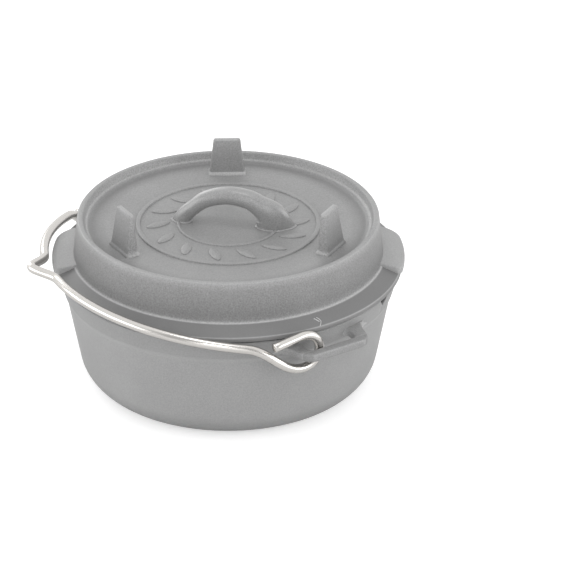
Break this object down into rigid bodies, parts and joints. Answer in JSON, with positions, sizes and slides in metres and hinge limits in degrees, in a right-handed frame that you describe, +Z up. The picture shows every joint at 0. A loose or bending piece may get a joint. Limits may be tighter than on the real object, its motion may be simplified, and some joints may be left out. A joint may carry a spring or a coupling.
{
  "type": "dutch oven",
  "caption": "Flat-bottom cast iron dutch oven with a recessed, footed lid, a loop handle on the lid and a wire bail hooked into slotted ears.",
  "frame": {"origin": "centre of the pot's flat base, on the surface it stands on", "axes": "+Z up along the pot's axis, +X from the pot's axis through the front ear, -Y towards the side on which the bail lies"},
  "size_m": [0.2522, 0.2384, 0.136],
  "materials": {
    "iron": "sand-cast, matt",
    "steel": "polished wire"
  },
  "bodies": {
    "pot": {"pot": "iron"},
    "lid": {"lid": "iron"},
    "bail": {"bail": "steel"}
  },
  "joints": [
    {"name": "lid_lift", "type": "slide", "parent": "pot", "child": "lid", "axis": [0, 0, 1], "range_m": [0, 0.12]},
    {"name": "bail_swing", "type": "hinge", "parent": "pot", "child": "bail", "pos_m": [0, -0.0204, 0.0726], "axis": [-1, 0, 0], "range_deg": [0, 90]}
  ]
}
